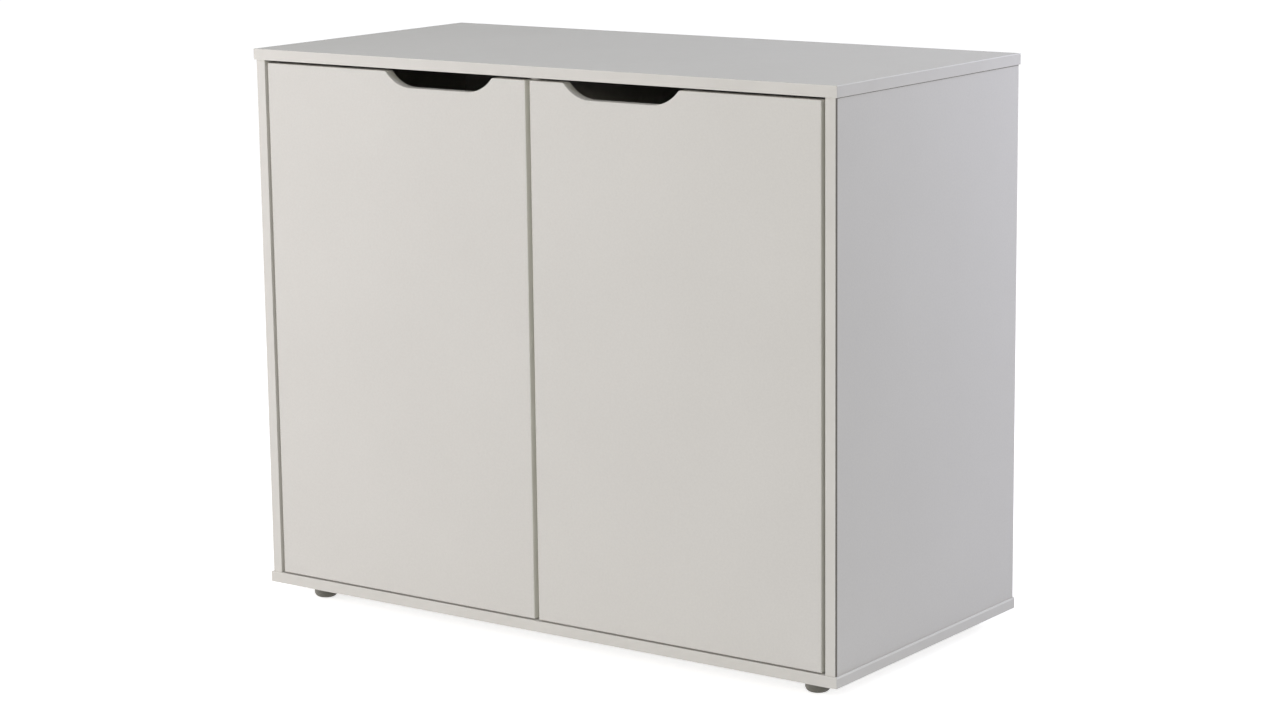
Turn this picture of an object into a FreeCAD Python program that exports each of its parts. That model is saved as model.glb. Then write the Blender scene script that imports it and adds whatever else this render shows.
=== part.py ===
import FreeCAD, Part
import math
import os

# Low cupboard with two hinged doors, on four short feet. All lengths are in millimetres.
# X runs to the right, Y to the back and Z up. The origin is on the floor, under the middle of the top.
# Left-hand pieces are built first, and right-hand pieces are their mirror images.

# Carcass
overall_width = 1000.0
overall_depth = 480.0
carcass_height = 800.0
board_thickness = 16.0
end_overhang = 3.0  # top and bottom stand past the sides at each end
front_overhang = 2.0  # top and bottom stand past the sides at the front
partition_setback = 2.0  # partition behind the backs of the doors
band_thickness = 1.0
band_rounding = 0.7

# Doors
door_thickness = 16.0
door_side_gap = 6.0
door_meeting_gap = 8.0
door_top_gap = 4.0
door_bottom_gap = 2.0

# Finger cut-out in the top edge of each door
cutout_flat = 101.0
cutout_depth = 22.0
cutout_end_radius = 57.0
cutout_shoulder_radius = 5.5
cutout_meeting_distance = 55.0  # straight top edge left beside the meeting edge

# Back in two halves, held in grooves and joined by a strip behind the partition
back_thickness = 3.0
back_inset = 12.0
back_groove_depth = 7.0
back_groove_play = 0.15
back_edge_play = 0.5
strip_flange_width = 18.0
strip_flange_thickness = 1.2
strip_web_thickness = 1.5

# Shelves and their pins
shelf_thickness = 16.0
shelf_height_share = 0.5  # height of the shelf pins, as a share of the space inside
shelf_setback = 20.0
shelf_end_play = 0.8
shelf_back_play = 0.8
pin_radius = 2.5
pin_hole_play = 0.05
pin_hole_depth = 7.0
pin_reach = 9.0
pin_row_inset = 50.0
pin_row_holes = 5
pin_row_pitch = 32.0

# Cam fittings and dowels between the uprights and the top and bottom
joint_inset = 60.0
cam_radius = 7.4
cam_hole_play = 0.1
cam_depth = 12.5
cam_end_distance = 34.0
cam_slot_length = 9.0
cam_slot_width = 1.6
cam_slot_depth = 2.5
bolt_thread_radius = 3.0
bolt_thread_length = 11.0
bolt_neck_radius = 2.2
bolt_head_radius = 3.4
bolt_head_length = 5.0
bolt_hole_play = 0.5
dowel_radius = 4.0
dowel_play = 0.1
dowel_board_depth = 11.0
dowel_upright_depth = 19.0
dowel_spacing = 32.0

# Feet
foot_height = 25.0
foot_radius = 17.5
foot_lower_rounding = 8.0
foot_upper_rounding = 0.8
foot_end_inset = 62.0
foot_edge_inset = 52.0
foot_sole_thickness = 8.0
foot_bore_radius = 5.5

# Screws
screw_shank_radius = 1.6
screw_head_radius = 3.6
screw_head_height = 2.0
screw_head_rounding = 0.8
screw_hole_play = 0.2
screw_slot_length = 4.0
screw_slot_width = 0.9
screw_slot_depth = 1.2
board_screw_depth = 10.0
partition_screw_depth = 6.5

# Hinges: a cup in the door, a pin through the cup and a bent arm on a plate inside the side
hinge_end_distance = 100.0
pivot_edge_distance = 12.0
pivot_front_distance = 9.0
hinge_pin_radius = 1.5
hinge_pin_play = 0.05
knuckle_radius = 3.5
cup_edge_distance = 5.0
cup_radius = 17.5
cup_wall = 1.0
cup_bore_play = 0.1
door_front_skin = 3.5
flange_radius = 19.0
flange_thickness = 1.2
flange_wing_width = 17.0
flange_wing_length = 58.0
flange_corner_radius = 4.0
cup_screw_spacing = 45.0
cup_screw_offset = 9.5
ear_thickness = 2.0
ear_radius = 3.2
ear_play = 0.5
arm_thickness = 2.4
arm_leg_height = 10.0
arm_reach = 15.0
arm_rise = 4.0
arm_sweep_play = 1.0
channel_height = 13.0
channel_wall = 1.5
channel_foot_play = 0.3
plate_setback = 8.0
plate_length = 40.0
plate_height = 46.0
plate_thickness = 3.0
plate_corner_radius = 5.0
plate_screw_spacing = 32.0
rail_width = 9.0
rail_height = 6.0
arm_screw_end_distance = 10.0
arm_screw_depth = 5.0

# Magnetic catches on the partition, with a strike plate on each door
catch_top_distance = 75.0
catch_width = 13.0
catch_depth = 16.0
catch_height = 40.0
catch_corner_radius = 2.0
catch_screw_spacing = 24.0
catch_screw_recess = 3.0
catch_strike_play = 0.3
strike_width = 13.0
strike_screw_gap = 1.5  # between the head of a strike screw and the catch
strike_end_margin = 2.5
strike_thickness = 1.2
strike_corner_radius = 2.0
strike_partition_gap = 1.0

# An edge runs along a direction when this share of its length lies along it
parallel_share = 0.9

# Places worked out from the sizes above
RIGHT = FreeCAD.Vector(1, 0, 0)
BACK = FreeCAD.Vector(0, 1, 0)
UP = FreeCAD.Vector(0, 0, 1)

left_end_x = -overall_width / 2
front_y = -overall_depth / 2
back_y = overall_depth / 2
bottom_z = foot_height
floor_z = bottom_z + board_thickness
top_z = bottom_z + carcass_height
ceiling_z = top_z - board_thickness

side_outer_x = left_end_x + end_overhang
side_inner_x = side_outer_x + board_thickness
side_front_y = front_y + front_overhang
partition_x = -board_thickness / 2
back_front_y = back_y - back_inset - back_thickness
strip_front_y = back_front_y - back_groove_play - strip_flange_thickness

door_front_y = side_front_y
door_back_y = door_front_y + door_thickness
door_hinge_x = side_inner_x + door_side_gap
door_meeting_x = -door_meeting_gap / 2
door_bottom_z = floor_z + door_bottom_gap
door_top_z = ceiling_z - door_top_gap
partition_front_y = door_back_y + partition_setback

cutout_lean = math.asin((cutout_end_radius + cutout_shoulder_radius - cutout_depth)
                        / (cutout_end_radius + cutout_shoulder_radius))
cutout_half_flat = cutout_flat / 2
cutout_shoulder_x = cutout_half_flat + (cutout_end_radius + cutout_shoulder_radius) * math.cos(cutout_lean)
cutout_x = door_meeting_x - cutout_meeting_distance - cutout_shoulder_x

shelf_front_y = door_back_y + shelf_setback
shelf_back_y = strip_front_y - shelf_back_play
pin_z = floor_z + (ceiling_z - floor_z) * shelf_height_share
shelf_z = pin_z + pin_radius
pin_rows_y = (shelf_front_y + pin_row_inset, shelf_back_y - pin_row_inset)

joint_rows_y = (side_front_y + joint_inset, strip_front_y - joint_inset)
dowel_rows_y = (joint_rows_y[0] + dowel_spacing, joint_rows_y[1] - dowel_spacing)
bolt_hole_radius = bolt_head_radius + bolt_hole_play
screw_hole_radius = screw_shank_radius + screw_hole_play

pivot_x = door_hinge_x + pivot_edge_distance
pivot_y = door_front_y + pivot_front_distance
cup_x = door_hinge_x + cup_edge_distance + cup_radius
cup_floor_y = door_front_y + door_front_skin
cup_screw_x = cup_x + cup_screw_offset
door_sweep_radius = math.hypot(pivot_edge_distance, max(pivot_front_distance, door_back_y - pivot_y))
arm_front_y = pivot_y + door_sweep_radius + arm_sweep_play
plate_front_y = arm_front_y + plate_setback
plate_middle_y = plate_front_y + plate_length / 2
arm_screw_rows_y = (plate_front_y + arm_screw_end_distance,
                    plate_front_y + plate_length - arm_screw_end_distance)
rail_top_x = side_inner_x + plate_thickness + rail_height
hinge_heights = {"lower": door_bottom_z + hinge_end_distance, "upper": door_top_z - hinge_end_distance}

catch_z = door_top_z - catch_top_distance
catch_front_y = door_back_y + strike_thickness + catch_strike_play
catch_face_x = partition_x - catch_width
strike_x = partition_x - strike_partition_gap - strike_width
strike_screw_spacing = catch_height + 2 * (screw_head_radius + strike_screw_gap)
strike_height = strike_screw_spacing + 2 * (screw_head_radius + strike_end_margin)


def span(middle, size):
    """Two ends of a length centred on a middle value."""
    return middle - size / 2, middle + size / 2


def block(x, y, z):
    """Block between two X, two Y and two Z values."""
    corner = FreeCAD.Vector(x[0], y[0], z[0])
    return Part.makeBox(x[1] - x[0], y[1] - y[0], z[1] - z[0], corner)


def peg(x, y, z, direction, radius, length):
    """Round bar or drilled hole from a point in a direction."""
    return Part.makeCylinder(radius, length, FreeCAD.Vector(x, y, z), direction)


def mirrored(shape):
    """Right-hand copy of a left-hand piece."""
    return shape.mirror(FreeCAD.Vector(0, 0, 0), RIGHT)


def both_hands(shapes):
    """Left-hand pieces followed by their right-hand copies."""
    return shapes + [mirrored(shape) for shape in shapes]


def rounded(shape, direction, radius):
    """Rounds the corners that run along a direction."""
    corners = []
    for edge in shape.Edges:
        run = edge.tangentAt(edge.FirstParameter)
        if abs(run.dot(direction)) > parallel_share:
            corners.append(edge)
    return shape.makeFillet(radius, corners)


def eased(band, outward):
    """Rounds the two long edges on the outer face of an edge band."""
    outer_face = max(edge.CenterOfMass.dot(outward) for edge in band.Edges)
    long_length = max(edge.Length for edge in band.Edges)
    chosen = []
    for edge in band.Edges:
        on_outer_face = edge.CenterOfMass.dot(outward) > outer_face - band_thickness / 2
        if on_outer_face and edge.Length > long_length / 2:
            chosen.append(edge)
    return band.makeFillet(band_rounding, chosen)


def cross_slot(x, y, z, direction, length, width, depth):
    """Cross-shaped driver recess that starts at a point and sinks in a direction."""
    bars = [block(span(0, length), span(0, width), (-depth, 0)),
            block(span(0, width), span(0, length), (-depth, 0))]
    slot = bars[0].fuse(bars[1])
    slot.Placement = FreeCAD.Placement(FreeCAD.Vector(x, y, z), FreeCAD.Rotation(-UP, direction))
    return slot


def screw(x, y, z, direction, length):
    """Pan-head screw whose head sits on a point and whose shank runs in a direction."""
    head = peg(x, y, z, -direction, screw_head_radius, screw_head_height)
    crown = FreeCAD.Vector(x, y, z) - direction * screw_head_height
    rim = min(head.Edges, key=lambda edge: edge.CenterOfMass.dot(direction))
    head = head.makeFillet(screw_head_rounding, [rim])
    shank = peg(x, y, z, direction, screw_shank_radius, length)
    slot = cross_slot(crown.x, crown.y, crown.z, direction,
                      screw_slot_length, screw_slot_width, screw_slot_depth)
    return head.fuse(shank).cut(slot)


# Fittings that join the boards


def uprights():
    """Middle X of each upright and the direction in which its cam locks face."""
    side_x = (side_outer_x + side_inner_x) / 2
    return [(side_x, RIGHT), (0, RIGHT), (-side_x, -RIGHT)]


def board_ends():
    """Height where uprights meet the bottom and the top, and the direction into that board."""
    return [(floor_z, -UP), (ceiling_z, UP)]


def cam_lock(x, y, z, facing, into):
    """Round cam in the face of an upright, with its channel for the bolt and its driver slot."""
    face_x = x + facing.x * board_thickness / 2
    body = peg(face_x, y, z, -facing, cam_radius, cam_depth)
    channel_start = z - into.z * (bolt_head_length / 2 + bolt_hole_play)
    channel = peg(x, y, channel_start, into, bolt_hole_radius, cam_end_distance)
    slot = cross_slot(face_x, y, z, -facing, cam_slot_length, cam_slot_width, cam_slot_depth)
    return body.cut([channel, slot])


def cam_bolt(x, y, end_z, into):
    """Bolt screwed into the top or bottom, with its head inside the cam."""
    neck_length = cam_end_distance - bolt_head_length / 2
    thread = peg(x, y, end_z, into, bolt_thread_radius, bolt_thread_length)
    neck = peg(x, y, end_z, -into, bolt_neck_radius, neck_length)
    head = peg(x, y, end_z - into.z * neck_length, -into, bolt_head_radius, bolt_head_length)
    return thread.fuse([neck, head])


def cam_locks():
    locks = []
    for x, facing in uprights():
        for end_z, into in board_ends():
            for y in joint_rows_y:
                locks.append(cam_lock(x, y, end_z - into.z * cam_end_distance, facing, into))
    return locks


def cam_bolts():
    return [cam_bolt(x, y, end_z, into)
            for x, facing in uprights() for end_z, into in board_ends() for y in joint_rows_y]


def dowels():
    pieces = []
    for x, facing in uprights():
        for end_z, into in board_ends():
            start_z = end_z - into.z * dowel_upright_depth
            for y in dowel_rows_y:
                pieces.append(peg(x, y, start_z, into, dowel_radius, dowel_upright_depth + dowel_board_depth))
    return pieces


def upright_joint_holes(x, facing):
    """Cam, bolt and dowel holes in both ends of one upright."""
    holes = []
    face_x = x + facing.x * board_thickness / 2
    for end_z, into in board_ends():
        cam_z = end_z - into.z * cam_end_distance
        for y in joint_rows_y:
            holes.append(peg(face_x, y, cam_z, -facing, cam_radius + cam_hole_play, cam_depth))
            holes.append(peg(x, y, end_z, -into, bolt_hole_radius, cam_end_distance))
        for y in dowel_rows_y:
            holes.append(peg(x, y, end_z, -into, dowel_radius + dowel_play, dowel_upright_depth))
    return holes


def board_joint_holes(end_z, into):
    """Bolt and dowel holes in the top or the bottom."""
    holes = []
    for x, facing in uprights():
        for y in joint_rows_y:
            holes.append(peg(x, y, end_z, into, bolt_thread_radius, bolt_thread_length))
        for y in dowel_rows_y:
            holes.append(peg(x, y, end_z, into, dowel_radius + dowel_play, dowel_board_depth))
    return holes


# Carcass boards and their edge bands


def groove_y():
    """Front and rear of the groove that holds the back."""
    return back_front_y - back_groove_play, back_front_y + back_thickness + back_groove_play


def flat_board(z, end_z, into):
    """Top or bottom board inside its edge bands, grooved for the back and drilled for the uprights."""
    board = block((left_end_x + band_thickness, -left_end_x - band_thickness),
                  (front_y + band_thickness, back_y), z)
    groove_end_x = side_inner_x - back_groove_depth
    groove_z = sorted((end_z, end_z + into.z * back_groove_depth))
    groove = block((groove_end_x, -groove_end_x), groove_y(), groove_z)
    return board.cut([groove] + board_joint_holes(end_z, into))


def top_panel():
    return flat_board((ceiling_z, top_z), ceiling_z, UP)


def bottom_panel():
    panel = flat_board((bottom_z, floor_z), floor_z, -UP)
    return panel.cut([peg(x, y, bottom_z, UP, screw_shank_radius, board_screw_depth)
                      for x, y in foot_places()])


def front_band(z):
    """Band along the whole front of the top or the bottom."""
    return eased(block((left_end_x, -left_end_x), (front_y, front_y + band_thickness), z), -BACK)


def end_bands(z):
    """Bands on both ends of the top or the bottom, behind the front band."""
    band = block((left_end_x, left_end_x + band_thickness), (front_y + band_thickness, back_y), z)
    return both_hands([eased(band, -RIGHT)])


def pin_holes(face_x, into):
    """Rows of shelf pin holes in one face of an upright."""
    holes = []
    for y in pin_rows_y:
        for step in range(pin_row_holes):
            z = pin_z + (step - pin_row_holes // 2) * pin_row_pitch
            holes.append(peg(face_x, y, z, into, pin_radius + pin_hole_play, pin_hole_depth))
    return holes


def plate_screw_places():
    """Y and Z of the screws in the mounting plates of one side."""
    return [(plate_middle_y, z + step)
            for z in hinge_heights.values() for step in span(0, plate_screw_spacing)]


def left_side_panel():
    panel = block((side_outer_x, side_inner_x), (side_front_y + band_thickness, back_y), (floor_z, ceiling_z))
    groove = block((side_inner_x - back_groove_depth, side_inner_x), groove_y(), (floor_z, ceiling_z))
    screw_holes = [peg(side_inner_x, y, z, -RIGHT, screw_shank_radius, board_screw_depth)
                   for y, z in plate_screw_places()]
    side, facing = uprights()[0]
    joint_holes = upright_joint_holes(side, facing)
    return panel.cut([groove] + joint_holes + pin_holes(side_inner_x, -RIGHT) + screw_holes)


def left_side_edging():
    return eased(block((side_outer_x, side_inner_x), (side_front_y, side_front_y + band_thickness),
                       (floor_z, ceiling_z)), -BACK)


def partition_panel():
    panel = block((partition_x, -partition_x), (partition_front_y + band_thickness, strip_front_y),
                  (floor_z, ceiling_z))
    left_holes = pin_holes(partition_x, RIGHT)
    left_holes += [peg(partition_x, y, z, RIGHT, screw_shank_radius, partition_screw_depth)
                   for y, z in catch_screw_places()]
    middle, facing = uprights()[1]
    return panel.cut(both_hands(left_holes) + upright_joint_holes(middle, facing))


def partition_edging():
    return eased(block((partition_x, -partition_x), (partition_front_y, partition_front_y + band_thickness),
                       (floor_z, ceiling_z)), -BACK)


def left_back_panel():
    """Half of the back, standing on the floor of its groove."""
    return block((side_inner_x - back_groove_depth + back_edge_play, -strip_web_thickness / 2),
                 (back_front_y, back_front_y + back_thickness),
                 (floor_z - back_groove_depth, ceiling_z + back_groove_depth - back_edge_play))


def back_joining_strip():
    """H-shaped strip that holds the meeting edges of the two back halves."""
    groove_front_y, groove_rear_y = groove_y()
    height = (floor_z, ceiling_z - back_edge_play)
    width = span(0, strip_flange_width)
    web = block(span(0, strip_web_thickness), (groove_front_y, groove_rear_y), height)
    front_flange = block(width, (strip_front_y, groove_front_y), height)
    rear_flange = block(width, (groove_rear_y, groove_rear_y + strip_flange_thickness), height)
    return web.fuse([front_flange, rear_flange]).removeSplitter()


# Shelves


def shelf_x():
    """Ends of the left shelf."""
    return side_inner_x + shelf_end_play, partition_x - shelf_end_play


def left_shelf():
    return block(shelf_x(), (shelf_front_y + band_thickness, shelf_back_y),
                 (shelf_z, shelf_z + shelf_thickness))


def left_shelf_edging():
    return eased(block(shelf_x(), (shelf_front_y, shelf_front_y + band_thickness),
                       (shelf_z, shelf_z + shelf_thickness)), -BACK)


def left_shelf_pins():
    length = pin_hole_depth + pin_reach
    pins = []
    for y in pin_rows_y:
        pins.append(peg(side_inner_x - pin_hole_depth, y, pin_z, RIGHT, pin_radius, length))
        pins.append(peg(partition_x + pin_hole_depth, y, pin_z, -RIGHT, pin_radius, length))
    return pins


# Feet


def foot_places():
    """X and Y of each foot, in the order front left, front right, rear left, rear right."""
    x = left_end_x + foot_end_inset
    return [(side * x, y) for y in (front_y + foot_edge_inset, back_y - foot_edge_inset) for side in (1, -1)]


def foot(x, y):
    """Round foot with a deep bore from below for its screw."""
    body = peg(x, y, 0, UP, foot_radius, foot_height)
    lower_rim = min(body.Edges, key=lambda edge: edge.CenterOfMass.z)
    body = body.makeFillet(foot_lower_rounding, [lower_rim])
    upper_rim = max(body.Edges, key=lambda edge: edge.CenterOfMass.z)
    body = body.makeFillet(foot_upper_rounding, [upper_rim])
    bore = peg(x, y, 0, UP, foot_bore_radius, foot_height - foot_sole_thickness)
    hole = peg(x, y, 0, UP, screw_hole_radius, foot_height)
    return body.cut([bore, hole])


def foot_screws():
    return [screw(x, y, foot_height - foot_sole_thickness, UP, foot_sole_thickness + board_screw_depth)
            for x, y in foot_places()]


# Doors


def arc(middle_x, middle_z, radius, start, end):
    """Part of a circle in the plane of the door's front, between two angles."""
    points = []
    for angle in (start, (start + end) / 2, end):
        points.append(FreeCAD.Vector(middle_x + radius * math.cos(angle), door_front_y,
                                     middle_z + radius * math.sin(angle)))
    return Part.Arc(*points).toShape()


def line(x0, z0, x1, z1):
    return Part.makeLine(FreeCAD.Vector(x0, door_front_y, z0), FreeCAD.Vector(x1, door_front_y, z1))


def top_line(inset, start_x, end_x):
    """Top edge of the left door with its finger cut-out, moved down into the board by an inset."""
    edge_z = door_top_z - inset
    shoulder_z = door_top_z - cutout_shoulder_radius
    end_z = door_top_z - cutout_depth + cutout_end_radius
    shoulder = cutout_shoulder_radius - inset
    end = cutout_end_radius + inset
    left_lean = math.pi + cutout_lean
    right_lean = math.pi - cutout_lean
    upright = math.pi / 2
    return [
        line(start_x, edge_z, cutout_x - cutout_shoulder_x, edge_z),
        arc(cutout_x - cutout_shoulder_x, shoulder_z, shoulder, upright, cutout_lean),
        arc(cutout_x - cutout_half_flat, end_z, end, left_lean, math.pi + upright),
        line(cutout_x - cutout_half_flat, end_z - end, cutout_x + cutout_half_flat, end_z - end),
        arc(cutout_x + cutout_half_flat, end_z, end, -upright, -cutout_lean),
        arc(cutout_x + cutout_shoulder_x, shoulder_z, shoulder, right_lean, upright),
        line(cutout_x + cutout_shoulder_x, edge_z, end_x, edge_z),
    ]


def on_top_line(edge):
    """True for an edge of the bent band that follows the door's top line on its front or rear face."""
    middle = edge.valueAt((edge.FirstParameter + edge.LastParameter) / 2)
    run = edge.tangentAt(edge.FirstParameter)
    if abs(run.dot(BACK)) > parallel_share:
        return False
    vertex = Part.Vertex(middle.x, door_front_y, middle.z)
    outline = Part.Compound(top_line(0, door_hinge_x, door_meeting_x))
    return vertex.distToShape(outline)[0] < band_thickness / 4


def slab(edges):
    """Piece with a closed outline, as thick as the door."""
    outline = Part.Wire(Part.__sortEdges__(edges))
    return Part.Face(outline).extrude(BACK * door_thickness)


def left_door_panel():
    """Door board inside its edge bands, bored for the cups and drilled for the screws."""
    left, right = door_hinge_x + band_thickness, door_meeting_x - band_thickness
    bottom, top = door_bottom_z + band_thickness, door_top_z - band_thickness
    edges = top_line(band_thickness, left, right)
    edges.append(line(right, top, right, bottom))
    edges.append(line(right, bottom, left, bottom))
    edges.append(line(left, bottom, left, top))
    cutters = [peg(x, door_back_y, z, -BACK, screw_shank_radius, board_screw_depth)
               for x, z in door_screw_places()]
    for z in hinge_heights.values():
        cutters.append(peg(cup_x, cup_floor_y, z, BACK, cup_radius + cup_bore_play, door_thickness))
    return slab(edges).cut(cutters)


def left_door_top_edging():
    """Band bent along the top edge and through the cut-out, between the two upright bands."""
    left, right = door_hinge_x + band_thickness, door_meeting_x - band_thickness
    inner_z = door_top_z - band_thickness
    edges = top_line(0, left, right) + top_line(band_thickness, left, right)
    edges += [line(left, inner_z, left, door_top_z), line(right, inner_z, right, door_top_z)]
    band = slab(edges)
    outer_edges = [edge for edge in band.Edges if on_top_line(edge)]
    return band.makeFillet(band_rounding, outer_edges)


def left_door_hinge_edging():
    return eased(block((door_hinge_x, door_hinge_x + band_thickness), (door_front_y, door_back_y),
                       (door_bottom_z, door_top_z)), -RIGHT)


def left_door_meeting_edging():
    return eased(block((door_meeting_x - band_thickness, door_meeting_x), (door_front_y, door_back_y),
                       (door_bottom_z, door_top_z)), RIGHT)


def left_door_bottom_edging():
    return eased(block((door_hinge_x + band_thickness, door_meeting_x - band_thickness),
                       (door_front_y, door_back_y), (door_bottom_z, door_bottom_z + band_thickness)), -UP)


def door_screw_places():
    """X and Z of the screws in the back of the left door: two for each cup and two for the strike plate."""
    places = [(cup_screw_x, z + step) for z in hinge_heights.values() for step in span(0, cup_screw_spacing)]
    return places + strike_screw_places()


def left_door_screws():
    screws = []
    for x, z in door_screw_places():
        plate = strike_thickness if (x, z) in strike_screw_places() else flange_thickness
        screws.append(screw(x, door_back_y + plate, z, -BACK, plate + board_screw_depth))
    return screws


# Hinges


def hinge_cup(z):
    """Cup let into the door, with its screwed flange and the two ears that hold the pin."""
    shell = peg(cup_x, cup_floor_y, z, BACK, cup_radius, door_back_y - cup_floor_y)
    rim = peg(cup_x, door_back_y, z, BACK, flange_radius, flange_thickness)
    flange_y = (door_back_y, door_back_y + flange_thickness)
    wings = rounded(block(span(cup_screw_x, flange_wing_width), flange_y, span(z, flange_wing_length)),
                    BACK, flange_corner_radius)
    hollow = peg(cup_x, cup_floor_y + cup_wall, z, BACK, cup_radius - cup_wall, door_thickness)
    screw_holes = [peg(cup_screw_x, door_back_y, z + step, BACK, screw_hole_radius, flange_thickness)
                   for step in span(0, cup_screw_spacing)]
    cup = shell.fuse([rim, wings]).cut([hollow] + screw_holes)
    pin_bore = peg(pivot_x, pivot_y, z - pin_half_length(), UP, hinge_pin_radius, 2 * pin_half_length())
    return cup.fuse(cup_ears(z)).removeSplitter().cut(pin_bore)


def cup_ears(z):
    """Upright plates inside the cup, above and below the arm's knuckle."""
    ears = []
    for start in (z - pin_half_length(), z + pin_half_length() - ear_thickness):
        web = block(span(pivot_x, 2 * ear_radius), (cup_floor_y, pivot_y), (start, start + ear_thickness))
        ears.append(web.fuse(peg(pivot_x, pivot_y, start, UP, ear_radius, ear_thickness)))
    return ears


def pin_half_length():
    """From the middle of a hinge to the outer face of an ear."""
    return arm_leg_height / 2 + ear_play + ear_thickness


def hinge_pin(z):
    return peg(pivot_x, pivot_y, z - pin_half_length(), UP, hinge_pin_radius, 2 * pin_half_length())


def arm_leg(z):
    """Bent front of the arm: a knuckle on the pin, a sloping leg and a leg out of the cup."""
    low_z = z - arm_leg_height / 2
    elbow_x, elbow_y = pivot_x + arm_reach, pivot_y + arm_rise
    slope = math.degrees(math.atan2(arm_rise, arm_reach))
    knuckle = peg(pivot_x, pivot_y, low_z, UP, knuckle_radius, arm_leg_height)
    sloping = block((0, math.hypot(arm_reach, arm_rise)), span(0, arm_thickness), (0, arm_leg_height))
    pivot = FreeCAD.Vector(pivot_x, pivot_y, low_z)
    sloping.Placement = FreeCAD.Placement(pivot, FreeCAD.Rotation(UP, slope))
    elbow = peg(elbow_x, elbow_y, low_z, UP, arm_thickness / 2, arm_leg_height)
    straight = block(span(elbow_x, arm_thickness), (elbow_y, arm_front_y + arm_thickness),
                     span(z, arm_leg_height))
    pin_bore = peg(pivot_x, pivot_y, low_z, UP, hinge_pin_radius + hinge_pin_play, arm_leg_height)
    return knuckle.fuse([sloping, elbow, straight]).cut(pin_bore)


def hinge_arm(z):
    """Arm from the pin to the mounting plate, with a channel that sits over the plate's rail."""
    foot_x = side_inner_x + plate_thickness + channel_foot_play
    web_x = (rail_top_x, rail_top_x + channel_wall)
    rear_y = plate_front_y + plate_length
    front_x = (foot_x, pivot_x + arm_reach + arm_thickness / 2)
    front = block(front_x, (arm_front_y, arm_front_y + arm_thickness), span(z, channel_height))
    web = block(web_x, (arm_front_y, rear_y), span(z, channel_height))
    low_z, high_z = span(z, channel_height)
    cheeks = [block((foot_x, web_x[1]), (arm_front_y, rear_y), heights)
              for heights in ((low_z, low_z + channel_wall), (high_z - channel_wall, high_z))]
    holes = [peg(rail_top_x, y, z, RIGHT, screw_hole_radius, channel_wall) for y in arm_screw_rows_y]
    return arm_leg(z).fuse([front, web] + cheeks).removeSplitter().cut(holes)


def hinge_plate(z):
    """Mounting plate screwed to the side, with a rail for the arm."""
    plate_x = (side_inner_x, side_inner_x + plate_thickness)
    plate_y = (plate_front_y, plate_front_y + plate_length)
    plate = rounded(block(plate_x, plate_y, span(z, plate_height)), RIGHT, plate_corner_radius)
    rail = block((plate_x[1], rail_top_x), plate_y, span(z, rail_width))
    holes = [peg(side_inner_x, plate_middle_y, z + step, RIGHT, screw_hole_radius, plate_thickness)
             for step in span(0, plate_screw_spacing)]
    holes += [peg(rail_top_x, y, z, -RIGHT, screw_shank_radius, arm_screw_depth) for y in arm_screw_rows_y]
    return plate.fuse(rail).removeSplitter().cut(holes)


def left_plate_screws():
    return [screw(side_inner_x + plate_thickness, y, z, -RIGHT, plate_thickness + board_screw_depth)
            for y, z in plate_screw_places()]


def left_arm_screws():
    """Screws that clamp each left arm to the rail of its plate."""
    return [screw(rail_top_x + channel_wall, y, z, -RIGHT, channel_wall + arm_screw_depth)
            for z in hinge_heights.values() for y in arm_screw_rows_y]


# Catches


def catch_screw_places():
    """Y and Z of the screws that hold the left catch to the partition."""
    return [(catch_front_y + catch_depth / 2, catch_z + step) for step in span(0, catch_screw_spacing)]


def left_catch():
    """Magnet housing on the left face of the partition."""
    body = rounded(block((catch_face_x, partition_x), (catch_front_y, catch_front_y + catch_depth),
                         span(catch_z, catch_height)), RIGHT, catch_corner_radius)
    cutters = []
    for y, z in catch_screw_places():
        head_hole_radius = screw_head_radius + screw_hole_play
        cutters.append(peg(catch_face_x, y, z, RIGHT, head_hole_radius, catch_screw_recess))
        cutters.append(peg(catch_face_x, y, z, RIGHT, screw_hole_radius, catch_width))
    return body.cut(cutters)


def left_catch_screws():
    seat_x = catch_face_x + catch_screw_recess
    return [screw(seat_x, y, z, RIGHT, catch_width - catch_screw_recess + partition_screw_depth)
            for y, z in catch_screw_places()]


def strike_screw_places():
    """X and Z of the screws that hold the left strike plate, above and below the catch."""
    return [(strike_x + strike_width / 2, catch_z + step) for step in span(0, strike_screw_spacing)]


def left_strike_plate():
    plate = rounded(block((strike_x, strike_x + strike_width), (door_back_y, door_back_y + strike_thickness),
                          span(catch_z, strike_height)), BACK, strike_corner_radius)
    return plate.cut([peg(x, door_back_y, z, BACK, screw_hole_radius, strike_thickness)
                      for x, z in strike_screw_places()])


# Pieces by name


def single_pieces():
    """Pieces that are not mirrored: one solid or one group of solids for each name."""
    pieces = {
        "top_panel": [top_panel()],
        "top_front_edging": [front_band((ceiling_z, top_z))],
        "top_end_edging": end_bands((ceiling_z, top_z)),
        "bottom_panel": [bottom_panel()],
        "bottom_front_edging": [front_band((bottom_z, floor_z))],
        "bottom_end_edging": end_bands((bottom_z, floor_z)),
        "partition_panel": [partition_panel()],
        "partition_edging": [partition_edging()],
        "back_joining_strip": [back_joining_strip()],
        "shelf_edging": both_hands([left_shelf_edging()]),
        "shelf_pins": both_hands(left_shelf_pins()),
        "cam_locks": cam_locks(),
        "cam_bolts": cam_bolts(),
        "dowels": dowels(),
        "foot_screws": foot_screws(),
        "hinge_plate_screws": both_hands(left_plate_screws()),
        "hinge_arm_screws": both_hands(left_arm_screws()),
        "catch_screws": both_hands(left_catch_screws()),
    }
    for name, (x, y) in zip(("front_left", "front_right", "rear_left", "rear_right"), foot_places()):
        pieces[name + "_foot"] = [foot(x, y)]
    return pieces


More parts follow.
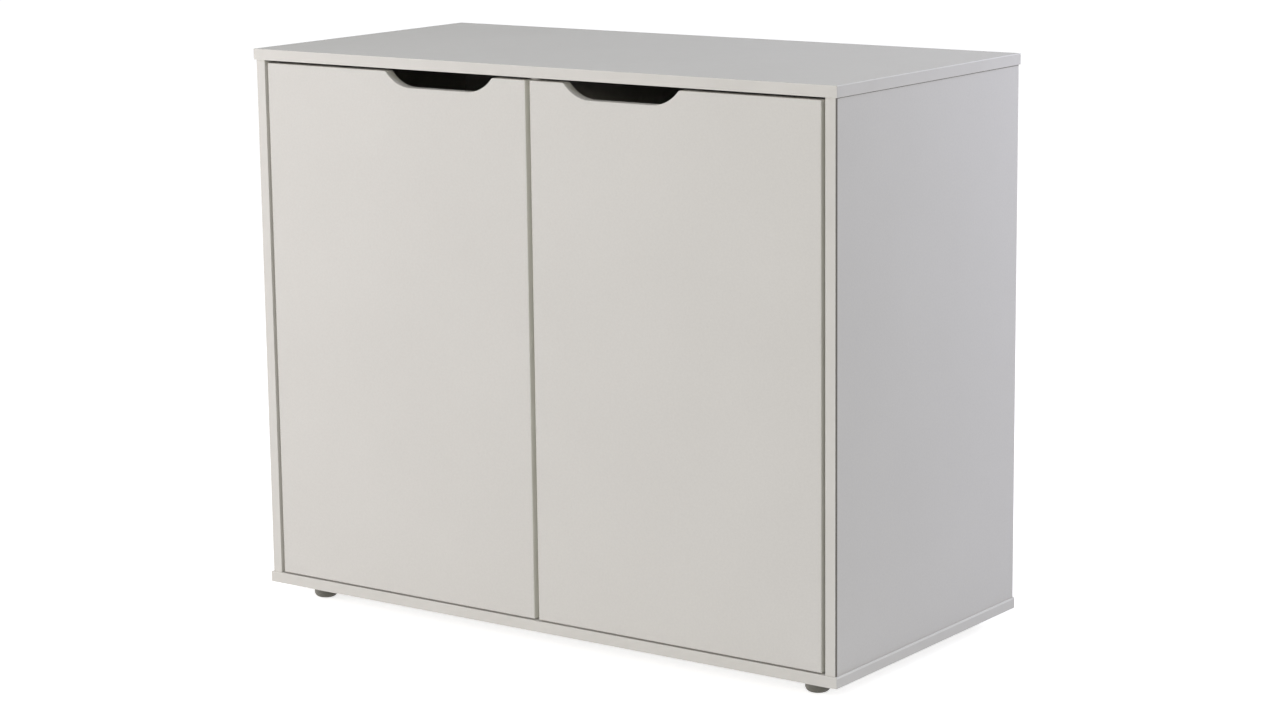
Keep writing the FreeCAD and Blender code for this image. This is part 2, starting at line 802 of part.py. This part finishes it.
def left_pieces():
    """Left-hand pieces, by the part of the name that follows the hand."""
    pieces = {
        "side_panel": [left_side_panel()],
        "side_edging": [left_side_edging()],
        "back_panel": [left_back_panel()],
        "shelf": [left_shelf()],
        "catch": [left_catch()],
        "strike_plate": [left_strike_plate()],
        "door_panel": [left_door_panel()],
        "door_top_edging": [left_door_top_edging()],
        "door_hinge_edging": [left_door_hinge_edging()],
        "door_meeting_edging": [left_door_meeting_edging()],
        "door_bottom_edging": [left_door_bottom_edging()],
        "door_screws": left_door_screws(),
        "hinge_pins": [hinge_pin(z) for z in hinge_heights.values()],
    }
    for level, z in hinge_heights.items():
        pieces[level + "_hinge_cup"] = [hinge_cup(z)]
        pieces[level + "_hinge_arm"] = [hinge_arm(z)]
        pieces[level + "_hinge_plate"] = [hinge_plate(z)]
    return pieces


def save(name, solids):
    """Writes one named piece, or one named group of separate pieces."""
    shape = solids[0] if len(solids) == 1 else Part.makeCompound(solids)
    shape.exportStep("parts/" + name + ".step")


os.makedirs("parts", exist_ok=True)
for name, solids in single_pieces().items():
    save(name, solids)
for name, solids in left_pieces().items():
    save("left_" + name, solids)
    save("right_" + name, [mirrored(solid) for solid in solids])
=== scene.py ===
import math

import bpy
from mathutils import Matrix, Vector


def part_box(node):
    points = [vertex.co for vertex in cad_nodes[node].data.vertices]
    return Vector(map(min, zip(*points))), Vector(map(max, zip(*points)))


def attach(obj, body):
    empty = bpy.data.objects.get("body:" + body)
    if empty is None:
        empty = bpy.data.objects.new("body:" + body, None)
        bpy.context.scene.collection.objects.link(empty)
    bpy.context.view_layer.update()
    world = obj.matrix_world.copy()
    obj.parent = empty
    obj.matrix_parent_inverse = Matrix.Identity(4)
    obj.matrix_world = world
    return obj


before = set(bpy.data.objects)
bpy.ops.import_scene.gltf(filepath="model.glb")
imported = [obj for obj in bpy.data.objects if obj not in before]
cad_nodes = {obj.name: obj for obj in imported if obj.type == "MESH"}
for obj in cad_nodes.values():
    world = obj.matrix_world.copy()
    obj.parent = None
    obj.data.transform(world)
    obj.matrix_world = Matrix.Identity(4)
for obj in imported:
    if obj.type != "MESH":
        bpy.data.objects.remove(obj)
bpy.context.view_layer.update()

# Axes of the frame, the way that is outward along X on each hand, and the two hinges of a door
X, Y, Z = 0, 1, 2
OUTWARD = {"left": -1, "right": 1}
LEVELS = ("lower", "upper")

# Colours as linear light, each from its darkest tone to its palest
FACING_TONES = ((0.684, 0.664, 0.630), (0.720, 0.700, 0.665))
BAND_TONES = ((0.688, 0.667, 0.629), (0.714, 0.694, 0.657))
DOOR_BAND_TONES = ((0.762, 0.750, 0.696), (0.790, 0.778, 0.725))
CHIP_TONES = ((0.210, 0.130, 0.070), (0.400, 0.275, 0.165), (0.580, 0.440, 0.290))
FIBRE_TONES = ((0.215, 0.136, 0.078), (0.390, 0.270, 0.168))
PLASTIC_TONES = ((0.620, 0.614, 0.598), (0.660, 0.655, 0.640))
FOOT_TONES = ((0.188, 0.182, 0.156), (0.220, 0.212, 0.184))
MAGNET_TONES = ((0.040, 0.039, 0.038), (0.075, 0.073, 0.070))
NICKEL_TONES = ((0.700, 0.686, 0.655), (0.800, 0.788, 0.758))
ZINC_TONES = ((0.480, 0.480, 0.482), (0.620, 0.622, 0.625))
BEECH_TONES = ((0.470, 0.305, 0.170), (0.620, 0.440, 0.270))

# Colours of lines, wear, painted shade and painted highlight, as linear light
# Painted highlight: pale colour along band edges, where a rounded edge catches the light
PAINTED_EDGE_HIGHLIGHT = (0.860, 0.845, 0.812)
GLUE_LINE = (0.230, 0.205, 0.165)
# Painted shade: dark lines at the front corner and the top joint of each side panel, in place of the
# shadow in a narrow gap
PAINTED_GAP_SHADE = (0.150, 0.137, 0.115)
FOOT_SCUFF = (0.310, 0.300, 0.268)

# Roughness, from the smoothest spots to the roughest
FACING_ROUGHNESS = (0.58, 0.66)
CHIP_ROUGHNESS = (0.75, 0.95)
BAND_ROUGHNESS = (0.48, 0.56)
FIBRE_ROUGHNESS = (0.70, 0.90)
PLASTIC_ROUGHNESS = (0.40, 0.50)
FOOT_ROUGHNESS = (0.48, 0.62)
MAGNET_ROUGHNESS = (0.55, 0.75)
NICKEL_ROUGHNESS = (0.28, 0.40)
ZINC_ROUGHNESS = (0.42, 0.58)
BEECH_ROUGHNESS = (0.60, 0.75)

# Relief, as a height in metres and how strongly it shows
BOARD_RELIEF = (0.00006, 0.6)
BAND_RELIEF = (0.00003, 0.5)
BACK_RELIEF = (0.0001, 0.6)
PLASTIC_RELIEF = (0.00005, 0.6)
METAL_RELIEF = (0.00004, 0.4)
BEECH_RELIEF = (0.0001, 0.5)

# Specular level of the white facing and bands
white_gloss = 0.3

# Patterns, as features in a metre
facing_clouds = 5
facing_mottle = 320
facing_pearl = 900
facing_shine = 60
large_chips = 420
small_chips = 1100
band_clouds = 14
band_shine = 120
band_grain = 1500
# Patches of the painted highlight along band edges
band_highlight_patches = 45
back_fibres = 700
back_flecks = 170
back_patches = 6
plastic_clouds = 90
plastic_grain = 2200
foot_scratches = 380
nickel_patches = 160
zinc_patches = 500
metal_grains_in_patch = 6
beech_grain = 900

# Scale of a pattern's coordinates along X, Y and Z: finer above 1, longer below it
FIBRE_STRETCH = (1, 1, 1.6)
FLECK_STRETCH = (1.8, 1, 1)
SCRATCH_STRETCH = (1, 1, 3)
BEECH_STRETCH = (1, 1, 0.08)

# Share of each pattern in a mixed one
cloud_share = 0.40
mottle_share = 0.60
large_chip_share = 0.60
small_chip_share = 0.40
fibre_share = 0.40
fleck_share = 0.42
patch_share = 0.18

# Pattern values at which each tone is reached
NOISE_RANGE = (0.3, 0.7)
CHIP_RANGE = (0, 0.45, 1)
FIBRE_RANGE = (0.38, 0.62)

# Pattern values at which scratches on a foot begin and are full
SCRATCH_RANGE = (0.42, 0.62)

# Least and most of the painted highlight, along the long edges of a band and along an end band
EDGE_HIGHLIGHT_STRENGTH = (0.1, 0.6)
END_HIGHLIGHT_STRENGTH = (0.8, 1.0)

# Sizes of the finishes, in metres
facing_thickness = 0.0003
glue_line_width = 0.0002
# Widths of the painted shade lines at a side panel's front corner and along its top joint
corner_shade_front_width = 0.0002
corner_shade_side_width = 0.0034
joint_shade_height = 0.0012
# Widths of the painted highlight along band edges and at the top of the end bands
highlight_width = 0.0018
top_end_highlight_height = 0.0014
bottom_end_highlight_height = 0.0030
foot_wear_height = 0.006

# Share of an end band's painted highlight height over which the highlight fades in
highlight_fade = 1 / 3

# Magnetic catches, in metres
pole_thickness = 0.0015
pole_height = 0.028
pole_inset = 0.0022
pole_sunk = 0.004
pole_shoulder = 0.00008
pole_nose = 0.00008
pole_nose_margin = 0.00025
magnet_sunk = 0.004
magnet_proud = 0.00006
catch_edge_rounding = 0.00003

# Floor and light
floor_size = 60.0
FLOOR_COLOUR = (0.92, 0.92, 0.92, 1)
floor_roughness = 0.9
floor_glow = 0.74
SKY_COLOUR = (0.98, 0.995, 1.0, 1)
sky_strength = 0.35
WARM_LIGHT = (1.0, 0.958, 0.965)
YELLOW_LIGHT = (1.0, 0.975, 0.76)
BLUE_LIGHT = (0.785, 0.806, 1.0)
COOL_LIGHT = (0.91, 0.936, 1.0)
LAMP_AIM = (0, 0, 0.42)
large_softbox = 1.4
small_softbox = 1.0

# Camera: place in metres, angles in degrees, lens in millimetres
CAMERA_PLACE = (2.654, -3.663, 1.267)
camera_azimuth = 35.79
camera_pitch = 11.14
camera_roll = -0.66
camera_lens = 89.4


# Places on a box, which is a low corner and a high corner


def middle_of(box, axis):
    """Middle of a box along an axis."""
    low, high = box
    return (low[axis] + high[axis]) / 2


def half_of(box, axis):
    """Half of a box's size along an axis."""
    low, high = box
    return (high[axis] - low[axis]) / 2


def end_of(box, axis, direction):
    """Where a box ends along an axis: its low end for a direction of -1, its high end for 1."""
    low, high = box
    return high[axis] if direction > 0 else low[axis]


# Shader helpers


def link(source, target):
    """Joins an output to an input."""
    target.id_data.links.new(source, target)


def start_material(name):
    """New material, with its shader and the object's own coordinates."""
    material = bpy.data.materials.new(name)
    material.use_nodes = True
    nodes = material.node_tree.nodes
    shader = nodes["Principled BSDF"]
    place = nodes.new("ShaderNodeTexCoord").outputs["Object"]
    return material, shader, place


def sibling(socket, kind):
    """New node in the same material as a socket."""
    return socket.id_data.nodes.new(kind)


def stretched(place, scale):
    """Coordinates multiplied along each axis, for a grain that runs one way."""
    mapping = sibling(place, "ShaderNodeMapping")
    mapping.inputs["Scale"].default_value = scale
    link(place, mapping.inputs["Vector"])
    return mapping.outputs["Vector"]


def noise(place, features, detail=2.0, fineness=0.5):
    """Soft random pattern with about so many features in a metre.

    Detail is how many finer layers it has, and fineness is how strong they are.
    """
    texture = sibling(place, "ShaderNodeTexNoise")
    texture.inputs["Scale"].default_value = features
    texture.inputs["Detail"].default_value = detail
    texture.inputs["Roughness"].default_value = fineness
    link(place, texture.inputs["Vector"])
    return texture.outputs["Fac"]


def chips(place, features):
    """Texture of random cells, with about so many in a metre."""
    texture = sibling(place, "ShaderNodeTexVoronoi")
    texture.inputs["Scale"].default_value = features
    link(place, texture.inputs["Vector"])
    return texture


def chip_shade(texture):
    """One random value from 0 to 1 for each cell."""
    colour = texture.outputs["Color"]
    parts = sibling(colour, "ShaderNodeSeparateColor")
    link(colour, parts.inputs["Color"])
    return parts.outputs["Red"]


def part_of(place, axis):
    """One coordinate of a place."""
    parts = sibling(place, "ShaderNodeSeparateXYZ")
    link(place, parts.inputs["Vector"])
    return parts.outputs[axis]


def calculate(operation, first, second=0):
    """Result of an operation on a pattern and a second pattern or number."""
    node = sibling(first, "ShaderNodeMath")
    node.operation = operation
    link(first, node.inputs[0])
    if isinstance(second, (int, float)):
        node.inputs[1].default_value = second
    else:
        link(second, node.inputs[1])
    return node.outputs["Value"]


def distance_from(place, axis, position):
    """How far a place is from a position along an axis."""
    offset = calculate("SUBTRACT", part_of(place, axis), position)
    return calculate("ABSOLUTE", offset)


def near(place, axis, position, distance):
    """1 where a place is within a distance of a position along an axis, and 0 elsewhere."""
    return calculate("LESS_THAN", distance_from(place, axis, position), distance)


def mixed(patterns_and_shares):
    """Patterns added together, each times its share."""
    parts = [calculate("MULTIPLY", pattern, share) for pattern, share in patterns_and_shares]
    total = parts[0]
    for part in parts[1:]:
        total = calculate("ADD", total, part)
    return total


def rescaled(pattern, low, high, new_low, new_high):
    """Pattern moved from one range to another."""
    node = sibling(pattern, "ShaderNodeMapRange")
    node.inputs["From Min"].default_value = low
    node.inputs["From Max"].default_value = high
    node.inputs["To Min"].default_value = new_low
    node.inputs["To Max"].default_value = new_high
    link(pattern, node.inputs["Value"])
    return node.outputs["Result"]


def spread(pattern, low, high):
    """Noise pattern spread over a range."""
    return rescaled(pattern, *NOISE_RANGE, low, high)


def toned(pattern, tones, positions=NOISE_RANGE):
    """Colour that passes through some tones as a pattern rises past their positions."""
    ramp = sibling(pattern, "ShaderNodeValToRGB")
    stops = ramp.color_ramp.elements
    for position in positions[1:-1]:
        stops.new(position)
    for stop, tone, position in zip(stops, tones, positions):
        stop.position = position
        stop.color = (*tone, 1)
    link(pattern, ramp.inputs["Fac"])
    return ramp.outputs["Color"]


def painted(mask, under, over):
    """Colour pattern with a plain colour or another colour pattern laid over it where a mask is 1."""
    mix = sibling(mask, "ShaderNodeMix")
    mix.data_type = "RGBA"
    link(mask, mix.inputs["Factor"])
    link(under, mix.inputs["A"])
    if isinstance(over, tuple):
        mix.inputs["B"].default_value = (*over, 1)
    else:
        link(over, mix.inputs["B"])
    return mix.outputs["Result"]


def choice(mask, off, on):
    """Number pattern that is one pattern where a mask is 0 and another where it is 1."""
    mix = sibling(mask, "ShaderNodeMix")
    link(mask, mix.inputs["Factor"])
    link(off, mix.inputs["A"])
    link(on, mix.inputs["B"])
    return mix.outputs["Result"]


def bump(shader, pattern, relief):
    """Gives a shader a raised texture."""
    height, strength = relief
    node = sibling(pattern, "ShaderNodeBump")
    node.inputs["Distance"].default_value = height
    node.inputs["Strength"].default_value = strength
    link(pattern, node.inputs["Height"])
    link(node.outputs["Normal"], shader.inputs["Normal"])


def dress(name, material):
    """Puts a material on a CAD node."""
    for slot in cad_nodes[name].material_slots:
        slot.material = material


# Boards


def white_facing(place):
    """Colour, roughness and height of the white facing: soft clouds, a fine mottle and a pearl texture."""
    clouds = noise(place, facing_clouds, detail=3)
    mottle = noise(place, facing_mottle)
    colour = toned(mixed(((clouds, cloud_share), (mottle, mottle_share))), FACING_TONES)
    roughness = spread(noise(place, facing_shine, detail=3), *FACING_ROUGHNESS)
    pearl = noise(place, facing_pearl)
    return colour, roughness, pearl


def raw_chipboard(place):
    """Colour, roughness and height of bare chipboard: large chips pressed together with small ones."""
    large = chips(place, large_chips)
    large_shade = chip_shade(large)
    small_shade = chip_shade(chips(place, small_chips))
    shade = mixed(((large_shade, large_chip_share), (small_shade, small_chip_share)))
    colour = toned(shade, CHIP_TONES, CHIP_RANGE)
    roughness = rescaled(small_shade, 0, 1, *CHIP_ROUGHNESS)
    return colour, roughness, large.outputs["Distance"]


def side_shade_lines(place, box, outward):
    """1 along the front corner and the top joint of a side panel's outer face, where painted shade stands
    for the shadow in a narrow gap, and 0 elsewhere.
    """
    outer_face = near(place, X, end_of(box, X, outward), facing_thickness)
    front_corner = near(place, Y, end_of(box, Y, -1), corner_shade_side_width)
    top_joint = near(place, Z, end_of(box, Z, 1), joint_shade_height)
    return calculate("MULTIPLY", outer_face, calculate("MAXIMUM", front_corner, top_joint))


def dress_board(name, axis, outward=None):
    """White facing on the two faces of a board, and raw chipboard on its cut edges and in its holes.

    The axis runs through the board's thickness. A side panel also has its outward direction, and shows
    painted shade lines on its outer face, in place of the shadow in narrow gaps.
    """
    material, shader, place = start_material(name + "_finish")
    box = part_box(name)
    core = near(place, axis, middle_of(box, axis), half_of(box, axis) - facing_thickness)
    colour, roughness, height = white_facing(place)
    # Painted shade lines on a side panel's outer face
    if outward is not None:
        colour = painted(side_shade_lines(place, box, outward), colour, PAINTED_GAP_SHADE)
    chip_colour, chip_roughness, chip_height = raw_chipboard(place)
    link(painted(core, colour, chip_colour), shader.inputs["Base Color"])
    link(choice(core, roughness, chip_roughness), shader.inputs["Roughness"])
    bump(shader, choice(core, height, chip_height), BOARD_RELIEF)
    shader.inputs["Specular IOR Level"].default_value = white_gloss
    dress(name, material)


def dress_boards():
    """Dresses every board, with the axis of its thickness."""
    for name in ("top_panel", "bottom_panel", "left_shelf", "right_shelf"):
        dress_board(name, Z)
    dress_board("partition_panel", X)
    for hand, outward in OUTWARD.items():
        dress_board(hand + "_side_panel", X, outward)
        dress_board(hand + "_door_panel", Y)


# Edge bands


def white_band(place, tones):
    """Colour of a white edge band, which drifts between two tones."""
    return toned(noise(place, band_clouds, detail=4), tones)


def with_painted_highlight(place, where, strength, colour):
    """Band colour with a patchy painted highlight laid over it where a mask is above 0."""
    patches = spread(noise(place, band_highlight_patches, detail=4), *strength)
    return painted(calculate("MULTIPLY", where, patches), colour, PAINTED_EDGE_HIGHLIGHT)


def satin(shader, place, colour):
    """Gives an edge band its colour and a satin surface."""
    link(colour, shader.inputs["Base Color"])
    link(spread(noise(place, band_shine, detail=3), *BAND_ROUGHNESS), shader.inputs["Roughness"])
    bump(shader, noise(place, band_grain, detail=1), BAND_RELIEF)
    shader.inputs["Specular IOR Level"].default_value = white_gloss


def dress_band(name, axis, board_side, wide_axis, tones=BAND_TONES, outward=None):
    """Plastic edge band with a patchy painted highlight along its long edges and a thin glue line against
    its board.

    The axis runs through the band's thickness, with the board at its low end for a board side of -1 or at
    its high end for 1. The wide axis runs across the band. The band of a side panel also has its outward
    direction, and shows a painted shade line at its outer corner.
    """
    material, shader, place = start_material(name + "_finish")
    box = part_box(name)
    half = half_of(box, wide_axis)
    from_middle = distance_from(place, wide_axis, middle_of(box, wide_axis))
    long_edges = rescaled(from_middle, half - highlight_width, half, 0, 1)
    # Painted highlight along the long edges
    colour = with_painted_highlight(place, long_edges, EDGE_HIGHLIGHT_STRENGTH, white_band(place, tones))
    glue = near(place, axis, end_of(box, axis, board_side), glue_line_width)
    colour = painted(glue, colour, GLUE_LINE)
    # Painted shade line at the outer corner of a side panel's band
    if outward is not None:
        corner = near(place, X, end_of(box, X, outward), corner_shade_front_width)
        colour = painted(corner, colour, PAINTED_GAP_SHADE)
    satin(shader, place, colour)
    dress(name, material)


def dress_end_bands(name, highlight_height):
    """Edge bands on the ends of the top or the bottom, with a painted highlight along their upper edges.
    """
    material, shader, place = start_material(name + "_finish")
    # Painted highlight along the upper edge, fading in from below
    start = end_of(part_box(name), Z, 1) - highlight_height
    upper_edge = rescaled(part_of(place, Z), start, start + highlight_height * highlight_fade, 0, 1)
    satin(shader, place, with_painted_highlight(place, upper_edge, END_HIGHLIGHT_STRENGTH, white_band(place, BAND_TONES)))
    dress(name, material)


def bent_band_finish():
    """Edge band that follows the cut-out in the top of a door."""
    material, shader, place = start_material("bent_band_finish")
    satin(shader, place, white_band(place, BAND_TONES))
    return material


def dress_bands():
    """Dresses every edge band, with the side that its board is on."""
    for name in ("top_front_edging", "bottom_front_edging", "shelf_edging"):
        dress_band(name, Y, 1, Z)
    dress_band("partition_edging", Y, 1, X)
    dress_end_bands("top_end_edging", top_end_highlight_height)
    dress_end_bands("bottom_end_edging", bottom_end_highlight_height)
    bent = bent_band_finish()
    for hand, outward in OUTWARD.items():
        dress_band(hand + "_side_edging", Y, 1, X, outward=outward)
        dress(hand + "_door_top_edging", bent)
        dress_band(hand + "_door_hinge_edging", X, -outward, Y, DOOR_BAND_TONES)
        dress_band(hand + "_door_meeting_edging", X, outward, Y, DOOR_BAND_TONES)
        dress_band(hand + "_door_bottom_edging", Z, 1, Y)


# Back, feet and fittings


def hardboard_finish():
    """Thin back: painted white inside, bare brown fibres outside and at its edges."""
    material, shader, place = start_material("hardboard_finish")
    inner_face = near(place, Y, end_of(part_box("left_back_panel"), Y, -1), facing_thickness)
    fibres = noise(stretched(place, FIBRE_STRETCH), back_fibres, detail=4, fineness=0.65)
    flecks = noise(stretched(place, FLECK_STRETCH), back_flecks, detail=5, fineness=0.75)
    patches = noise(place, back_patches, detail=4, fineness=0.6)
    shade = mixed(((fibres, fibre_share), (flecks, fleck_share), (patches, patch_share)))
    brown = toned(shade, FIBRE_TONES, FIBRE_RANGE)
    white, white_roughness, pearl = white_facing(place)
    link(painted(inner_face, brown, white), shader.inputs["Base Color"])
    fibre_roughness = spread(fibres, *FIBRE_ROUGHNESS)
    link(choice(inner_face, fibre_roughness, white_roughness), shader.inputs["Roughness"])
    bump(shader, choice(inner_face, fibres, pearl), BACK_RELIEF)
    return material


def mould(shader, place, colour, roughness):
    """Gives moulded plastic its colour and the fine texture of its mould."""
    grain = noise(place, plastic_grain)
    link(colour, shader.inputs["Base Color"])
    link(spread(grain, *roughness), shader.inputs["Roughness"])
    bump(shader, grain, PLASTIC_RELIEF)


def moulded_plastic(name, tones, roughness):
    """Moulded plastic that drifts between two tones."""
    material, shader, place = start_material(name)
    mould(shader, place, toned(noise(place, plastic_clouds, detail=3), tones), roughness)
    return material


def foot_finish():
    """Grey moulded foot, scuffed where it slides on the floor."""
    material, shader, place = start_material("foot_plastic")
    colour = toned(noise(place, plastic_clouds, detail=3), FOOT_TONES)
    near_floor = rescaled(part_of(place, Z), 0, foot_wear_height, 1, 0)
    scratches = noise(stretched(place, SCRATCH_STRETCH), foot_scratches, detail=3)
    scuffs = calculate("MULTIPLY", near_floor, rescaled(scratches, *SCRATCH_RANGE, 0, 1))
    mould(shader, place, painted(scuffs, colour, FOOT_SCUFF), FOOT_ROUGHNESS)
    return material


def metal(name, tones, roughness, features):
    """Plated or cast metal, smoother where it is brighter."""
    material, shader, place = start_material(name)
    shader.inputs["Metallic"].default_value = 1.0
    smoothest, roughest = roughness
    patches = noise(place, features, detail=4, fineness=0.6)
    link(toned(patches, tones), shader.inputs["Base Color"])
    link(spread(patches, roughest, smoothest), shader.inputs["Roughness"])
    bump(shader, noise(place, features * metal_grains_in_patch), METAL_RELIEF)
    return material


def beech():
    """Wood of the dowels, with its grain upright."""
    material, shader, place = start_material("beech_dowel")
    grain = noise(stretched(place, BEECH_STRETCH), beech_grain, detail=3)
    link(toned(grain, BEECH_TONES), shader.inputs["Base Color"])
    link(spread(grain, *BEECH_ROUGHNESS), shader.inputs["Roughness"])
    bump(shader, grain, BEECH_RELIEF)
    return material


def dress_fittings(nickel):
    """Dresses the back, the feet and every fitting."""
    zinc = metal("zinc_casting", ZINC_TONES, ZINC_ROUGHNESS, zinc_patches)
    white = moulded_plastic("white_plastic", PLASTIC_TONES, PLASTIC_ROUGHNESS)
    foot = foot_finish()
    back = hardboard_finish()
    for name in ("cam_bolts", "foot_screws", "hinge_plate_screws", "hinge_arm_screws", "catch_screws",
                 "shelf_pins"):
        dress(name, nickel)
    dress("cam_locks", zinc)
    dress("dowels", beech())
    dress("back_joining_strip", white)
    for hand in OUTWARD:
        dress(hand + "_back_panel", back)
        dress(hand + "_catch", white)
        for piece in ("strike_plate", "door_screws", "hinge_pins"):
            dress(hand + "_" + piece, nickel)
        for level in LEVELS:
            for piece in ("cup", "arm", "plate"):
                dress(hand + "_" + level + "_hinge_" + piece, nickel)
    for corner in ("front_left", "front_right", "rear_left", "rear_right"):
        dress(corner + "_foot", foot)


# Poles and magnets of the catches


def start_block(name, low, high):
    """Block between two corners, left in edit mode with all of it selected."""
    bpy.ops.object.select_all(action="DESELECT")
    bpy.ops.mesh.primitive_cube_add(size=1)
    piece = bpy.context.object
    piece.name = name
    piece.data.name = name
    bpy.ops.object.mode_set(mode="EDIT")
    bpy.ops.mesh.select_all(action="SELECT")
    size = [end - start for start, end in zip(low, high)]
    centre = [(end + start) / 2 for start, end in zip(low, high)]
    bpy.ops.transform.resize(value=size, center_override=(0, 0, 0))
    bpy.ops.transform.translate(value=centre)
    return piece


def select_front(piece):
    """Selects only the face that looks forwards."""
    bpy.ops.mesh.select_all(action="DESELECT")
    bpy.ops.object.mode_set(mode="OBJECT")
    front = min(piece.data.polygons, key=lambda face: face.center[Y])
    front.select = True
    bpy.ops.object.mode_set(mode="EDIT")


def finish_block(piece, material):
    """Softens the edges and puts the piece on the carcass."""
    bpy.ops.mesh.select_all(action="SELECT")
    bpy.ops.mesh.bevel(offset=catch_edge_rounding, segments=2, affect="EDGES")
    bpy.ops.mesh.normals_make_consistent(inside=False)
    bpy.ops.object.mode_set(mode="OBJECT")
    bpy.ops.object.shade_smooth_by_angle()
    piece.data.materials.append(material)
    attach(piece, "carcass")


def make_pole(name, start_x, catch, nickel):
    """Steel pole plate let into the front of a catch, with a narrower nose that meets the strike plate."""
    front = end_of(catch, Y, -1)
    middle = middle_of(catch, Z)
    pole = start_block(name,
                       (start_x, front - pole_shoulder, middle - pole_height / 2),
                       (start_x + pole_thickness, front + pole_sunk, middle + pole_height / 2))
    select_front(pole)
    bpy.ops.mesh.inset(thickness=pole_nose_margin)
    bpy.ops.mesh.extrude_region_move(TRANSFORM_OT_translate={"value": (0, -pole_nose, 0)})
    finish_block(pole, nickel)
    return pole


def copy_pole(pole, name, shift_x):
    """Another pole, with its own mesh, moved sideways."""
    bpy.ops.object.select_all(action="DESELECT")
    bpy.context.view_layer.objects.active = pole
    pole.select_set(True)
    bpy.ops.object.duplicate(linked=False)
    twin = bpy.context.object
    twin.name = name
    twin.data.name = name
    bpy.ops.object.mode_set(mode="EDIT")
    bpy.ops.mesh.select_all(action="SELECT")
    bpy.ops.transform.translate(value=(shift_x, 0, 0))
    bpy.ops.object.mode_set(mode="OBJECT")
    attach(twin, "carcass")


def make_magnet(name, start_x, end_x, catch, magnet_grey):
    """Magnet that fills the front of a catch between its poles."""
    front = end_of(catch, Y, -1)
    middle = middle_of(catch, Z)
    half_height = pole_height / 2 - pole_thickness
    magnet = start_block(name,
                         (start_x, front - magnet_proud, middle - half_height),
                         (end_x, front + magnet_sunk, middle + half_height))
    finish_block(magnet, magnet_grey)


def make_catch_fronts(nickel):
    """Two poles and a magnet in the front of each catch."""
    magnet_grey = moulded_plastic("magnet_grey", MAGNET_TONES, MAGNET_ROUGHNESS)
    for hand in OUTWARD:
        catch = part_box(hand + "_catch")
        first = end_of(catch, X, -1) + pole_inset
        second = end_of(catch, X, 1) - pole_inset - pole_thickness
        pole = make_pole(hand + "_catch_first_pole", first, catch, nickel)
        copy_pole(pole, hand + "_catch_second_pole", second - first)
        make_magnet(hand + "_catch_magnet", first + pole_thickness, second, catch, magnet_grey)


# Floor, light and camera


def seen_directly(tree):
    """1 where the camera sees a surface directly or in metal or glass."""
    path = tree.nodes.new("ShaderNodeLightPath")
    most = path.outputs["Is Camera Ray"]
    for name in ("Is Glossy Ray", "Is Transmission Ray"):
        most = calculate("MAXIMUM", most, path.outputs[name])
    return most


def make_floor():
    """Wide pale floor that looks white and keeps the shadow."""
    bpy.ops.object.select_all(action="DESELECT")
    bpy.ops.mesh.primitive_plane_add(size=floor_size, location=(0, 0, 0))
    floor = bpy.context.object
    floor.name = "studio_floor"
    material = bpy.data.materials.new("pale_floor")
    material.use_nodes = True
    tree = material.node_tree
    shader = tree.nodes["Principled BSDF"]
    shader.inputs["Base Color"].default_value = FLOOR_COLOUR
    shader.inputs["Roughness"].default_value = floor_roughness
    shader.inputs["Specular IOR Level"].default_value = 0.0
    shader.inputs["Emission Color"].default_value = (1, 1, 1, 1)
    glow = calculate("MULTIPLY", seen_directly(tree), floor_glow)
    link(glow, shader.inputs["Emission Strength"])
    floor.data.materials.append(material)


def make_sky():
    """Even light from all round, white where it is seen."""
    world = bpy.data.worlds.new("studio")
    world.use_nodes = True
    bpy.context.scene.world = world
    background = world.node_tree.nodes["Background"]
    background.inputs["Color"].default_value = SKY_COLOUR
    strength = rescaled(seen_directly(world.node_tree), 0, 1, sky_strength, 1.0)
    link(strength, background.inputs["Strength"])


def softbox(name, place, size, power, colour):
    """Square soft lamp that faces the middle of the cupboard."""
    lamp = bpy.data.lights.new(name, "AREA")
    lamp.shape = "SQUARE"
    lamp.size = size
    lamp.energy = power
    lamp.color = colour
    holder = bpy.data.objects.new(name, lamp)
    holder.location = place
    holder.rotation_euler = (Vector(LAMP_AIM) - Vector(place)).to_track_quat("-Z", "Y").to_euler()
    bpy.context.collection.objects.link(holder)


def make_lamps():
    """Main light from the left, weaker light from the front, the right and above."""
    softbox("left_softbox", place=(-3.8, -2.0, 0.6), size=large_softbox, power=97, colour=WARM_LIGHT)
    softbox("front_softbox", place=(0.0, -4.4, 0.6), size=large_softbox, power=9.5, colour=WARM_LIGHT)
    softbox("near_softbox", place=(3.0, -4.27, 2.25), size=large_softbox, power=25, colour=YELLOW_LIGHT)
    softbox("right_softbox", place=(1.4, 1.2, 1.36), size=small_softbox, power=14.4, colour=BLUE_LIGHT)
    softbox("overhead_softbox", place=(0.0, -1.8, 3.6), size=large_softbox, power=22, colour=COOL_LIGHT)


def make_camera():
    """Camera at the photograph's viewing angle, turned, tilted and rolled."""
    data = bpy.data.cameras.new("camera")
    data.lens = camera_lens
    camera = bpy.data.objects.new("camera", data)
    turn = Matrix.Rotation(math.radians(camera_azimuth), 4, "Z")
    tilt = Matrix.Rotation(math.radians(90 - camera_pitch), 4, "X")
    roll = Matrix.Rotation(math.radians(camera_roll), 4, "Z")
    camera.matrix_world = Matrix.Translation(CAMERA_PLACE) @ turn @ tilt @ roll
    bpy.context.collection.objects.link(camera)
    bpy.context.scene.camera = camera


nickel_plate = metal("nickel_plate", NICKEL_TONES, NICKEL_ROUGHNESS, nickel_patches)
dress_boards()
dress_bands()
dress_fittings(nickel_plate)
make_catch_fronts(nickel_plate)
make_floor()
make_sky()
make_lamps()
make_camera()
bpy.context.scene.view_settings.view_transform = "Standard"
